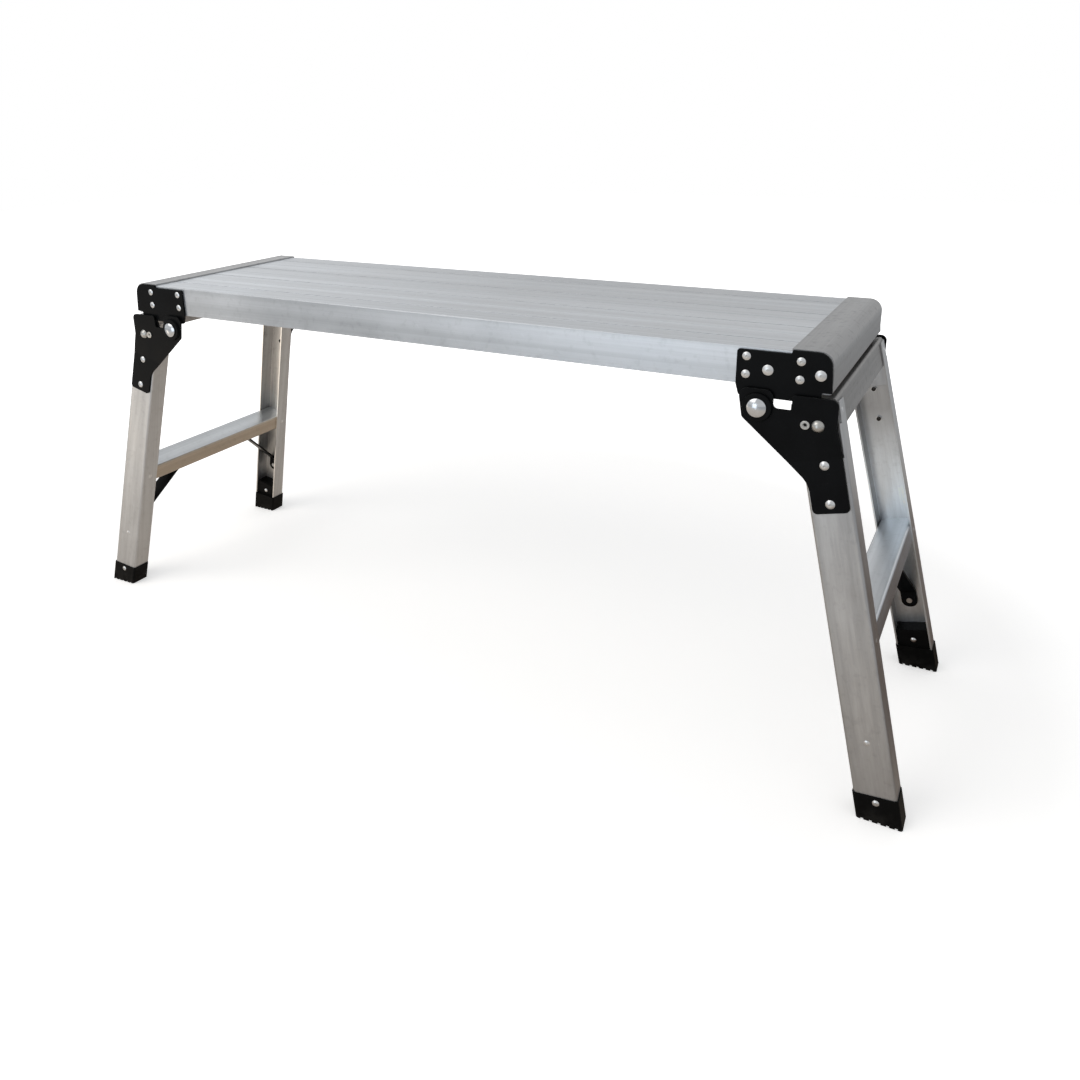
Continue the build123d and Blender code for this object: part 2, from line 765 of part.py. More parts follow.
# Foot: a moulded boot round the leg's end with a tongue inside the channel and a ribbed sole
boot_top = Plane(
    origin=leg_plane.from_local_coords((0, 0, -down_to(boot_height) / cos(flare))),
    z_dir=(-sin(radians(boot_tilt)), 0, cos(radians(boot_tilt))),
)
tongue_depth = leg_depth - tongue_recess
tongue_seat = Plane(
    origin=on_web(down_to(tongue_rivet_height), -tongue_depth).origin, x_dir=across, z_dir=leg_inward
)
with BuildPart() as boot:
    with BuildSketch(leg_plane.offset(-leg_run)) as profile:
        with Locations((0, -boot_wall)):
            Rectangle(
                leg_width + 2 * boot_wall, leg_depth + 2 * boot_wall,
                align=(Align.CENTER, Align.MIN),
            )
        fillet(profile.vertices(), radius=boot_corner_radius)
    extrude(amount=leg_run)
    split(bisect_by=boot_top, keep=Keep.BOTTOM)
    with BuildSketch(leg_plane.offset(-leg_run)):
        with Locations((0, leg_wall)):
            Rectangle(
                tube_width, tongue_depth - leg_wall,
                align=(Align.CENTER, Align.MIN),
            )
    extrude(amount=leg_run - down_to(tongue_height) / cos(flare))
    split(bisect_by=Plane.XY, keep=Keep.TOP)
    add(leg.part, mode=Mode.SUBTRACT)
    with Locations(foot_rivet_seat, tongue_seat):
        Hole(rivet_shank, depth=foot_rivet_grip + rivet_tail)
    foot_middle = on_leg(0, down_to(0))[0]
    tread_pitch = (leg_width + 2 * boot_wall) / cos(splay) / (tread_count + 0.5)
    with Locations((foot_middle, -web_face(down_to(0)), 0)):
        with GridLocations(tread_pitch, 1, tread_count, 1):
            Box(tread_width, 4 * leg_depth, 2 * tread_depth, mode=Mode.SUBTRACT)
save_corners(boot, "foot")

# One drive rivet goes in from outside and one from inside the channel
foot_rivet = rivet(
    foot_rivet_radius, foot_rivet_head, rivet_shank, foot_rivet_grip, drive_tip_radius, rivet_tail
)
save_ends(with_mirror(placed(foot_rivet, foot_rivet_seat, tongue_seat), Plane.XZ), "foot_rivets")
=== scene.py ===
from functools import partial
from math import cos, pi, radians, sin

import bpy
from bpy.props import FloatProperty, FloatVectorProperty, IntProperty, PointerProperty
from mathutils import Matrix, Vector


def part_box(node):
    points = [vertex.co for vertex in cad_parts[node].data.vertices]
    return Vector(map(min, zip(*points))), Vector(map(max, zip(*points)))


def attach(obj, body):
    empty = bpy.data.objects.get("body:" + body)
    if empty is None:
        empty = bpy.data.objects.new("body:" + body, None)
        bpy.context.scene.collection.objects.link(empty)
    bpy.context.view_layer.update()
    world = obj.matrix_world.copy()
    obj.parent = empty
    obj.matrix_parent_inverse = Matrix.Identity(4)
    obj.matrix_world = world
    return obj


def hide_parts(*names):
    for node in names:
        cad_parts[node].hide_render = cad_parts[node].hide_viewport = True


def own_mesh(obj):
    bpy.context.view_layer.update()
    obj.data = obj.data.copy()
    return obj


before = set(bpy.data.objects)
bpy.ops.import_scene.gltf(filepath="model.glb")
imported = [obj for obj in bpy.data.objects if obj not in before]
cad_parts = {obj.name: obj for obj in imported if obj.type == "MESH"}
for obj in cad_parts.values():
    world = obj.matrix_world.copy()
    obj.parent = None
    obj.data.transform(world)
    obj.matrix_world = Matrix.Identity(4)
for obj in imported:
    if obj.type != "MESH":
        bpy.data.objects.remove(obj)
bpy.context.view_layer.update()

bl_info = {
    "name": "Folding work platform",
    "version": (1, 0, 0),
    "blender": (4, 5, 0),
    "location": "3D View > Sidebar > Platform",
    "description": "Finishes the parts of a folding work platform and sets up its studio",
    "category": "Object",
}

# Which CAD nodes share a finish, by the start of their names
PLANKS = ("deck_plank_",)
CAPS = ("end_cap_left", "end_cap_right")
HINGE_PLATES = ("deck_plate_front", "deck_plate_rear", "leg_plate_")
LEGS = ("leg_front_", "leg_rear_")
RUNGS = ("rung_",)
CROSSBARS = ("top_crossbar_",)
BRACES = ("brace_front_", "brace_rear_")
FEET = ("foot_front_", "foot_rear_")
RIVETS = (
    "deck_plate_small_rivets", "deck_plate_plank_rivets", "deck_plate_cap_rivets", "end_cap_rivets",
    "leg_rivets_", "tube_rivets_", "brace_rivets_", "foot_rivets_",
)
ENDS = ("left", "right")

# How many times longer than wide the lines of an extrusion are
LINE_STRETCH = 160
WHITE = (1.0, 1.0, 1.0)


def named(*starts):
    """CAD nodes whose names begin with one of the given words."""
    return [node for name, node in sorted(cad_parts.items()) if name.startswith(starts)]


def at_end(nodes, end):
    return [node for node in nodes if node.name.endswith(end)]


# Settings

def colour_property(label, about, default):
    return FloatVectorProperty(
        name=label, description=about, subtype="COLOR", size=3, min=0, max=1, default=default
    )


def place_property(label, about, default):
    return FloatVectorProperty(
        name=label, description=about, subtype="TRANSLATION", unit="LENGTH", default=default
    )


def factor_property(label, about, default):
    return FloatProperty(name=label, description=about, subtype="FACTOR", min=0, max=1, default=default)


def length_property(label, about, default):
    return FloatProperty(name=label, description=about, unit="LENGTH", default=default, precision=4)


def angle_property(label, about, degrees):
    return FloatProperty(name=label, description=about, subtype="ANGLE", default=radians(degrees))


def power_property(label, about, default):
    return FloatProperty(name=label, description=about, unit="POWER", default=default)


class PlatformFinish(bpy.types.PropertyGroup):
    """Colours and roughness of the platform's surfaces."""

    deck: colour_property("Deck", "Mill-finish aluminium of the planks", (0.41, 0.43, 0.455))
    caps: colour_property("End caps", "Duller aluminium of the end caps", (0.24, 0.243, 0.248))
    crossbars: colour_property("Crossbars", "Grimier aluminium of the crossbars", (0.187, 0.185, 0.184))
    legs: colour_property("Legs", "Aluminium of the legs", (0.324, 0.33, 0.338))
    # Painted sheen: these inside colours are lighter and tinted, standing in for light reflected into the
    # leg channels.
    left_inside_sheen: colour_property("Left insides", "Cleaner metal inside the left legs", (0.95, 0.91, 0.85))
    right_inside_sheen: colour_property("Right insides", "Cleaner metal inside the right legs", (0.84, 0.91, 0.97))
    # Painted reflection: each rung's colour carries a cast of reflected light, warm on the left and blue on
    # the right.
    left_rung: colour_property("Left rung", "Slightly stained metal of the left rung", (0.325, 0.282, 0.232))
    right_rung: colour_property("Right rung", "Aluminium of the right rung", (0.29, 0.314, 0.345))
    # Painted highlight: the rung tops are lighter, standing in for the sky reflected in them.
    rung_top_sheen: colour_property("Rung tops", "Tops of the rungs, polished by shoes", (0.47, 0.49, 0.51))
    coat: colour_property("Black coat", "Powder coat of the plates and braces", (0.0028, 0.0031, 0.0035))
    coat_dust: colour_property("Coat dust", "Specks of dust on the black coat", (0.045, 0.045, 0.045))
    coat_worn: colour_property("Worn coat", "Rubbed edges of the black coat", (0.07, 0.07, 0.072))
    rivets: colour_property("Rivets", "Bright aluminium of the rivet heads", (0.46, 0.47, 0.48))
    chrome: colour_property("Knobs", "Polished plating of the lock knobs", (0.42, 0.435, 0.455))
    steel: colour_property("Steel", "Plated steel of pins, studs and springs", (0.33, 0.33, 0.32))
    # The stubs are near black, much darker than the steel of the pins, and show as a dark dot in each tail.
    stubs: colour_property("Stubs", "Dull steel of the rivets' crushed ends", (0.05, 0.048, 0.045))
    feet: colour_property("Feet", "Moulded black of the feet", (0.003, 0.003, 0.003))
    foot_dust: colour_property("Foot dust", "Dry dust on the soles", (0.035, 0.033, 0.029))
    # Painted light: the left legs and the left end's cap and crossbar are lighter copies of the right ones.
    left_leg_painted_light: FloatProperty(
        name="Left leg tone", description="How much lighter the left legs are than the right", default=1.10
    )
    left_cap_painted_light: FloatProperty(
        name="Left cap tone", description="How much lighter the left cap is than the right", default=1.40
    )
    # How much of the painted sheen inside the legs reaches up to the hinge, per end.
    left_hinge_sheen: factor_property("Left hinge clean", "Cleaner metal by the hinge, left legs", 1.0)
    right_hinge_sheen: factor_property("Right hinge clean", "Cleaner metal by the hinge, right legs", 0.0)
    deck_roughness: factor_property("Deck roughness", "Roughness of the planks", 0.38)
    cap_roughness: factor_property("Cap roughness", "Roughness of the caps and crossbars", 0.44)
    leg_roughness: factor_property("Leg roughness", "Roughness of the legs and rungs", 0.36)
    coat_roughness: factor_property("Coat roughness", "Roughness of the powder coat", 0.34)
    spacer_roughness: factor_property("Spacer roughness", "Roughness of the pivot spacers", 0.54)
    black_shine: factor_property("Black shine", "Specular level of the black surfaces", 0.045)


class PlatformDetail(bpy.types.PropertyGroup):
    """Sizes of the small pieces and marks that are added to the CAD parts."""

    mandrel_radius: length_property("Mandrel radius", "Pin left in the middle of a rivet head", 0.0013)
    mandrel_height: length_property("Mandrel height", "How far the pin stands out of the head", 0.00025)
    mandrel_depth: length_property("Mandrel depth", "How far the pin reaches into the head", 0.0010)
    stub_radius: length_property("Stub radius", "Crushed end of a leg rivet inside its leg", 0.0027)
    stub_height: length_property("Stub height", "How far the crushed end stands off its tail", 0.0016)
    pin_sides: IntProperty(name="Pin sides", description="Sides of a pin or stub", default=16, min=8)
    spring_wire: length_property("Spring wire", "Wire of the lock springs, across", 0.0009)
    spring_turns: FloatProperty(
        name="Spring turns", description="Turns of a lock spring", default=2.5, min=1.0
    )
    broken_edge: length_property("Broken edge", "Radius of the broken edges", 0.0007)
    dust_height: length_property("Dust height", "How far dust reaches up the feet", 0.02)
    splay: angle_property("Splay", "Lean of the open legs, which their die lines follow", 13.7)


class PlatformStage(bpy.types.PropertyGroup):
    """Camera, lamps and floor."""

    camera_place: place_property("Camera", "Place of the camera", (0.65524, -1.08747, 0.73409))
    camera_azimuth: angle_property("Azimuth", "Turn of the view from straight ahead", 29.804)
    camera_elevation: angle_property("Elevation", "Downward tilt of the view", 17.949)
    camera_roll: angle_property("Roll", "Roll of the camera", -1.148)
    lens: FloatProperty(name="Lens", description="Focal length in mm", unit="CAMERA", default=31.232)
    shift: FloatVectorProperty(
        name="Shift", description="Framing shift across and up", size=2, default=(0.0373, -0.1163)
    )
    floor_colour: colour_property("Floor", "Colour of the floor", (0.86, 0.86, 0.86))
    floor_size: length_property("Floor size", "Side of the square floor", 14.0)
    floor_lift: factor_property("Floor lift", "Share of white added to the floor by the legs", 0.45)
    white_start: length_property("White start", "Distance at which the floor begins to turn white", 0.75)
    white_full: length_property("White full", "Distance at which the floor is white", 1.5)
    near_glow: colour_property("Near glow", "Glow of the floor by the legs in the metal", (0.29, 0.20, 0.11))
    far_glow: colour_property("Far glow", "Glow of the floor further off in the metal", (0.06, 0.075, 0.09))
    glow_start: length_property("Glow start", "Distance at which the near glow begins to fade", 1.0)
    glow_end: length_property("Glow end", "Distance at which only the far glow is left", 1.9)
    shade: colour_property("Shade", "Shaded place of the floor in the metal", (0.10, 0.07, 0.05))
    shade_place: place_property("Shade place", "Middle of the shaded place", (0.85, 0.40, 0.0))
    shade_core: length_property("Shade core", "Radius of the full shade", 0.40)
    shade_reach: length_property("Shade reach", "Radius at which the shade ends", 0.90)
    sky: factor_property("Sky", "Level of the light from all round", 0.55)
    key_place: place_property("Key place", "Large lamp, front left", (-1.6, -2.2, 2.6))
    key_target: place_property("Key target", "Where the key points", (0.0, 0.0, 0.3))
    key_size: length_property("Key size", "Side of the key", 2.4)
    key_power: power_property("Key power", "Power of the key", 41.0)
    key_colour: colour_property("Key colour", "Colour of the key", (1.0, 0.96, 0.90))
    fill_place: place_property("Fill place", "Low lamp, front", (-0.3, -2.1, 0.4))
    fill_target: place_property("Fill target", "Where the fill points", (0.2, 0.0, 0.35))
    fill_size: length_property("Fill size", "Side of the fill", 0.9)
    fill_power: power_property("Fill power", "Power of the fill", 5.2)
    fill_colour: colour_property("Fill colour", "Colour of the fill", (0.82, 0.91, 1.0))
    bounce_place: place_property("Bounce place", "Small low lamp, left", (-1.15, -0.62, 0.16))
    bounce_target: place_property("Bounce target", "Where the bounce points", (-0.55, -0.1, 0.2))
    bounce_size: length_property("Bounce size", "Side of the bounce", 0.3)
    bounce_power: power_property("Bounce power", "Power of the bounce", 0.45)
    bounce_colour: colour_property("Bounce colour", "Colour of the bounce", (1.0, 0.86, 0.70))


def finish_settings():
    return bpy.context.scene.platform_finish


def detail_settings():
    return bpy.context.scene.platform_detail


# Nodes of the materials

def new_finish(name, roughness, metallic):
    """A material with its principled shader, ready for the pattern nodes."""
    material = bpy.data.materials.new(name)
    material.use_nodes = True
    shader = material.node_tree.nodes["Principled BSDF"]
    shader.inputs["Roughness"].default_value = roughness
    shader.inputs["Metallic"].default_value = metallic
    return material, material.node_tree, shader


def object_vector(tree, scale=(1.0, 1.0, 1.0), turn=0.0):
    """Object coordinates, turned about Y and then stretched, for one pattern."""
    place = tree.nodes.new("ShaderNodeTexCoord")
    turned = tree.nodes.new("ShaderNodeMapping")
    turned.inputs["Rotation"].default_value[1] = turn
    stretched = tree.nodes.new("ShaderNodeMapping")
    stretched.inputs["Scale"].default_value = scale
    tree.links.new(place.outputs["Object"], turned.inputs["Vector"])
    tree.links.new(turned.outputs["Vector"], stretched.inputs["Vector"])
    return stretched.outputs["Vector"]


def split(tree, vector):
    """The X, Y and Z of a vector."""
    node = tree.nodes.new("ShaderNodeSeparateXYZ")
    tree.links.new(vector, node.inputs["Vector"])
    return node.outputs


def face_normal(tree):
    return tree.nodes.new("ShaderNodeNewGeometry").outputs["Normal"]


def noise(tree, vector, scale=1.0, detail=4.0, roughness=0.6):
    node = tree.nodes.new("ShaderNodeTexNoise")
    node.inputs["Scale"].default_value = scale
    node.inputs["Detail"].default_value = detail
    node.inputs["Roughness"].default_value = roughness
    tree.links.new(vector, node.inputs["Vector"])
    return node.outputs["Fac"]


def ranged(tree, value, low, high, start=0.3, end=0.7):
    """low up to the value start, high from the value end, and even steps between them."""
    node = tree.nodes.new("ShaderNodeMapRange")
    node.inputs["From Min"].default_value = start
    node.inputs["From Max"].default_value = end
    node.inputs["To Min"].default_value = low
    node.inputs["To Max"].default_value = high
    tree.links.new(value, node.inputs["Value"])
    return node.outputs["Result"]


def varied(tree, pattern, spread, start=0.3, end=0.7):
    """A tone that a pattern moves up and down from 1 by a spread."""
    return ranged(tree, pattern, 1 - spread, 1 + spread, start, end)


def combined(tree, operation, first, second):
    node = tree.nodes.new("ShaderNodeMath")
    node.operation = operation
    tree.links.new(first, node.inputs[0])
    tree.links.new(second, node.inputs[1])
    return node.outputs["Value"]


def product(tree, first, *others):
    for other in others:
        first = combined(tree, "MULTIPLY", first, other)
    return first


def shaded(tree, colour, factor):
    """A colour, plain or from a socket, multiplied by a changing factor."""
    node = tree.nodes.new("ShaderNodeVectorMath")
    node.operation = "SCALE"
    if isinstance(colour, bpy.types.NodeSocket):
        tree.links.new(colour, node.inputs[0])
    else:
        node.inputs[0].default_value = colour
    tree.links.new(factor, node.inputs["Scale"])
    return node.outputs["Vector"]


def between(tree, factor, first, second):
    """Colour that goes from one to another; either may be a socket or a plain colour."""
    node = tree.nodes.new("ShaderNodeMix")
    node.data_type = "RGBA"
    tree.links.new(factor, node.inputs["Factor"])
    for socket, colour in ((node.inputs["A"], first), (node.inputs["B"], second)):
        if isinstance(colour, bpy.types.NodeSocket):
            tree.links.new(colour, socket)
        else:
            socket.default_value = (*colour, 1)
    return node.outputs["Result"]


def painted_inside_sheen(tree, by_hinge):
    """Mask of the painted sheen inside the legs: painted light standing in for light reflected into them.

    1 above the rung on faces turned inwards, a share of it below the rung,
    and the share by_hinge at the top.
    """
    place = split(tree, object_vector(tree))
    turned_in = product(tree, place["Y"], split(tree, face_normal(tree))["Y"])
    inward = ranged(tree, turned_in, 1.0, 0.0, start=-0.10, end=-0.06)
    above_rung = ranged(tree, place["Z"], 0.45, 1.0, start=0.15, end=0.23)
    below_hinge = ranged(tree, place["Z"], 1.0, by_hinge, start=0.25, end=0.36)
    return product(tree, inward, combined(tree, "MINIMUM", above_rung, below_hinge))


def facing_up(tree):
    """1 on faces turned upwards, 0 elsewhere."""
    return ranged(tree, split(tree, face_normal(tree))["Z"], 0.0, 1.0, start=0.75, end=0.90)


def painted_deck_light(tree):
    """Painted light on the deck top: paler towards the left end and along the front planks, and 1 on faces
    not turned up.
    """
    place = split(tree, object_vector(tree))
    along = ranged(tree, place["X"], 0.30, -0.05, start=-0.45, end=0.05)
    across = ranged(tree, place["Y"], 0.06, -0.09, start=-0.06, end=0.05)
    change = product(tree, facing_up(tree), combined(tree, "ADD", along, across))
    return ranged(tree, change, 0.5, 1.5, start=-0.5, end=0.5)


def broken_edges(tree):
    """Normal of the surface with its sharp edges broken."""
    node = tree.nodes.new("ShaderNodeBevel")
    node.samples = 4
    node.inputs["Radius"].default_value = detail_settings().broken_edge
    return node.outputs["Normal"]


def worn_edges(tree, rounded):
    """1 on the broken edges, patchy along them, and 0 on the faces between them."""
    turned = tree.nodes.new("ShaderNodeVectorMath")
    turned.operation = "DOT_PRODUCT"
    tree.links.new(rounded, turned.inputs[0])
    tree.links.new(face_normal(tree), turned.inputs[1])
    edge = ranged(tree, turned.outputs["Value"], 1.0, 0.0, start=0.82, end=0.99)
    patches = noise(tree, object_vector(tree), scale=260.0)
    return product(tree, edge, ranged(tree, patches, 0.2, 1.0, start=0.42, end=0.58))


def bumped(tree, shader, height, distance, strength, rounded=None):
    """Fine relief, on top of the broken edges where the finish has them."""
    node = tree.nodes.new("ShaderNodeBump")
    if rounded:
        tree.links.new(rounded, node.inputs["Normal"])
    node.inputs["Distance"].default_value = distance
    node.inputs["Strength"].default_value = strength
    tree.links.new(height, node.inputs["Height"])
    tree.links.new(node.outputs["Normal"], shader.inputs["Normal"])


# Finishes

def extruded_aluminium(
    name, colour, roughness, run, turn=0.0, cloudiness=0.08, spots=0.08, painted_sheen=None, painted_tone=None
):
    """Extruded aluminium: die lines and broad bands along its run, handling marks across them.

    A mask with its colour may be given: faces that it picks take that colour, a painted sheen standing in
    for light reflected onto them.
    A further tone may be given; on the planks it is painted light.
    """
    material, tree, shader = new_finish(name, roughness, metallic=0.9)

    def along(fineness):
        scale = [fineness, fineness, fineness]
        scale["XYZ".index(run)] = fineness / LINE_STRETCH
        return object_vector(tree, scale, turn)

    die_lines = noise(tree, along(900.0), detail=3.0)
    streaks = noise(tree, along(190.0), detail=3.0, roughness=0.55)
    bands = noise(tree, along(55.0), detail=2.0, roughness=0.5)
    marks = noise(tree, object_vector(tree, (9.0, 9.0, 9.0), turn), detail=6.0, roughness=0.65)
    scuffs = noise(tree, object_vector(tree, (160.0, 220.0, 60.0), 0.5), detail=5.0, roughness=0.7)
    specks = noise(tree, object_vector(tree, (130.0, 130.0, 130.0)), detail=3.0, roughness=0.5)
    rounded = broken_edges(tree)
    tone = product(
        tree,
        varied(tree, die_lines, 0.04),
        varied(tree, bands, 0.07, start=0.4, end=0.6),
        varied(tree, streaks, 0.05, start=0.38, end=0.62),
        varied(tree, marks, cloudiness),
        ranged(tree, scuffs, 1.0, 1.08, start=0.60, end=0.72),
        ranged(tree, specks, 1.0, 1 - spots, start=0.56, end=0.70),
        ranged(tree, worn_edges(tree, rounded), 1.0, 1.25, start=0.0, end=1.0),
    )
    # Painted light: a further tone that lightens parts of the surface.
    if painted_tone:
        tone = product(tree, tone, painted_tone(tree))
    # Painted sheen: the masked faces take a lighter colour, standing in for reflected light.
    if painted_sheen:
        mask, sheen_colour = painted_sheen
        colour = between(tree, mask(tree), colour, sheen_colour)
    tree.links.new(shaded(tree, colour, tone), shader.inputs["Base Color"])
    gloss = combined(
        tree, "ADD",
        ranged(tree, die_lines, roughness - 0.04, roughness + 0.05),
        ranged(tree, marks, -0.05, 0.06),
    )
    tree.links.new(gloss, shader.inputs["Roughness"])
    bumped(tree, shader, die_lines, distance=0.00006, strength=0.6, rounded=rounded)
    return material


def powder_coat(name, roughness):
    """Black powder coat: a fine orange peel, dull patches, a little dust and rubbed edges."""
    finish = finish_settings()
    material, tree, shader = new_finish(name, roughness, metallic=0.0)
    shader.inputs["Specular IOR Level"].default_value = finish.black_shine
    peel = noise(tree, object_vector(tree), scale=900.0, detail=2.0)
    patches = noise(tree, object_vector(tree), scale=28.0, detail=5.0)
    dust = noise(tree, object_vector(tree), scale=420.0, roughness=0.75)
    specks = product(
        tree,
        ranged(tree, dust, 0.0, 0.35, start=0.62, end=0.80),
        ranged(tree, patches, 0.2, 1.0),
    )
    black = shaded(tree, finish.coat, ranged(tree, patches, 0.75, 1.5))
    dusty = between(tree, specks, black, finish.coat_dust)
    rounded = broken_edges(tree)
    rubbed = ranged(tree, worn_edges(tree, rounded), 0.0, 0.6, start=0.0, end=1.0)
    tree.links.new(between(tree, rubbed, dusty, finish.coat_worn), shader.inputs["Base Color"])
    tree.links.new(ranged(tree, patches, roughness - 0.06, roughness + 0.12), shader.inputs["Roughness"])
    bumped(tree, shader, peel, distance=0.00005, strength=0.5, rounded=rounded)
    return material


def plated(name, colour, roughness, mottle):
    """Bright or plated metal with faint smudges."""
    material, tree, shader = new_finish(name, roughness, metallic=1.0)
    smudges = noise(tree, object_vector(tree), scale=140.0, detail=5.0)
    grain = noise(tree, object_vector(tree), scale=1100.0, detail=2.0)
    tone = product(tree, varied(tree, smudges, mottle), varied(tree, grain, mottle / 3))
    tree.links.new(shaded(tree, colour, tone), shader.inputs["Base Color"])
    tree.links.new(ranged(tree, smudges, roughness, roughness + mottle), shader.inputs["Roughness"])
    bumped(tree, shader, grain, distance=0.00003, strength=0.4)
    return material


def moulded(name, colour, roughness, dust_colour, dust_height):
    """Moulded black with a fine grain, dusty towards the floor."""
    material, tree, shader = new_finish(name, roughness, metallic=0.0)
    shader.inputs["Specular IOR Level"].default_value = finish_settings().black_shine
    grain = noise(tree, object_vector(tree), scale=750.0, detail=3.0)
    patches = noise(tree, object_vector(tree), scale=60.0, detail=5.0, roughness=0.7)
    height = split(tree, object_vector(tree))["Z"]
    near_floor = ranged(tree, height, 0.55, 0.0, start=0.0, end=dust_height)
    dust = product(tree, near_floor, ranged(tree, patches, 0.0, 1.0, start=0.42, end=0.75))
    black = shaded(tree, colour, ranged(tree, patches, 0.75, 1.4))
    tree.links.new(between(tree, dust, black, dust_colour), shader.inputs["Base Color"])
    tree.links.new(ranged(tree, grain, roughness - 0.08, roughness + 0.12), shader.inputs["Roughness"])
    bumped(tree, shader, grain, distance=0.00009, strength=0.6, rounded=broken_edges(tree))
    return material


def paint(nodes, material):
    """Give CAD nodes a material through their slots."""
    for node in nodes:
        for slot in node.material_slots:
            slot.material = material


# Small pieces on the CAD parts

def islands(node):
    """Vertex places of each separate solid in a CAD node, whose mesh is loose triangles."""
    places = {}
    leader = {}

    def lead(key):
        while leader[key] != key:
            leader[key] = leader[leader[key]]
            key = leader[key]
        return key

    vertices = node.data.vertices
    for face in node.data.polygons:
        keys = []
        for index in face.vertices:
            place = vertices[index].co
            key = tuple(round(value, 6) for value in place)
            places[key] = place.copy()
            leader.setdefault(key, key)
            keys.append(key)
        for key in keys[1:]:
            leader[lead(key)] = lead(keys[0])
    groups = {}
    for key, place in places.items():
        groups.setdefault(lead(key), []).append(place)
    return list(groups.values())


def crown(places):
    """Top of a rivet's head, the point furthest out from the middle plane, and its direction."""
    middle = sum(places, Vector()) / len(places)
    top = max(places, key=lambda place: abs(place.y))
    return top, (top - middle).normalized()


def tail(places):
    """Middle of a rivet's flat tail and the direction that it faces."""
    top, outward = crown(places)
    depth = min((place - top).dot(outward) for place in places)
    return top + outward * depth, -outward


def deselect():
    bpy.ops.object.select_all(action="DESELECT")


def model_pin(radius, height):
    """One pin along +Z, its crown dished, sunk into Z = 0."""
    detail = detail_settings()
    length = detail.mandrel_depth + height
    deselect()
    bpy.ops.mesh.primitive_cylinder_add(
        vertices=detail.pin_sides, radius=radius, depth=length, location=(0, 0, height - length / 2)
    )
    pin = bpy.context.active_object
    bpy.ops.object.transform_apply(location=True, rotation=False, scale=False)
    bpy.ops.object.mode_set(mode="EDIT")
    bpy.ops.mesh.select_all(action="DESELECT")
    bpy.ops.object.mode_set(mode="OBJECT")
    for face in pin.data.polygons:
        face.select = face.normal.z > 0.9
    bpy.ops.object.mode_set(mode="EDIT")
    bpy.ops.mesh.inset(thickness=radius * 0.2, depth=0)
    bpy.ops.mesh.inset(thickness=radius * 0.25, depth=-height * 0.8)
    bpy.ops.object.mode_set(mode="OBJECT")
    bpy.ops.object.shade_smooth_by_angle(angle=radians(40))
    return pin


def joined_copies(pattern, seats, name):
    """Copies of a pattern piece, one on each (place, direction), joined as one piece."""
    deselect()
    copies = []
    for place, direction in seats:
        copy = pattern.copy()
        copy.data = pattern.data.copy()
        turn = direction.to_track_quat("Z", "Y").to_matrix().to_4x4()
        copy.data.transform(Matrix.Translation(place) @ turn)
        bpy.context.collection.objects.link(copy)
        copy.select_set(True)
        copies.append(copy)
    bpy.context.view_layer.objects.active = copies[0]
    bpy.ops.object.join()
    copies[0].name = name
    copies[0].data.name = name
    return copies[0]


def model_spring(radius, height, wire, turns):
    """One coil spring along +Z from Z = 0, its wire swept by a screw and its ends closed."""
    rise = height - wire
    deselect()
    bpy.ops.mesh.primitive_circle_add(
        vertices=10, radius=wire / 2, location=(radius - wire / 2, 0, wire / 2), rotation=(pi / 2, 0, 0)
    )
    spring = bpy.context.active_object
    bpy.ops.object.transform_apply(location=True, rotation=True, scale=False)
    screw = spring.modifiers.new("coil", "SCREW")
    screw.angle = turns * 2 * pi
    screw.screw_offset = rise
    screw.steps = screw.render_steps = round(turns * 32)
    screw.use_smooth_shade = True
    bpy.ops.object.modifier_apply(modifier=screw.name)
    bpy.ops.object.mode_set(mode="EDIT")
    bpy.ops.mesh.select_all(action="SELECT")
    bpy.ops.mesh.fill_holes(sides=0)
    bpy.ops.mesh.normals_make_consistent(inside=False)
    bpy.ops.object.mode_set(mode="OBJECT")
    return spring


class PLATFORM_OT_deck(bpy.types.Operator):
    """Finish the planks, the end caps and the crossbars under them"""

    bl_idname = "platform.deck"
    bl_label = "Deck"

    def execute(self, context):
        finish = finish_settings()
        roughness = finish.deck_roughness
        # Painted light on the planks: their tops are paler towards the left end and along the front.
        planks = extruded_aluminium("deck_aluminium", finish.deck, roughness, "X", painted_tone=painted_deck_light)
        paint(named(*PLANKS), planks)
        kinds = (("cap", CAPS, finish.caps), ("crossbar", CROSSBARS, finish.crossbars))
        # Painted light: the left cap and crossbar are a lighter copy of the right ones.
        for end, tone in zip(ENDS, (finish.left_cap_painted_light, 1.0)):
            for kind, nodes, colour in kinds:
                soiled_and_lit = extruded_aluminium(
                    f"{kind}_aluminium_{end}", Vector(colour) * tone, finish.cap_roughness, "Y",
                    cloudiness=0.16, spots=0.22,
                )
                paint(at_end(named(*nodes), end), soiled_and_lit)
        return {"FINISHED"}


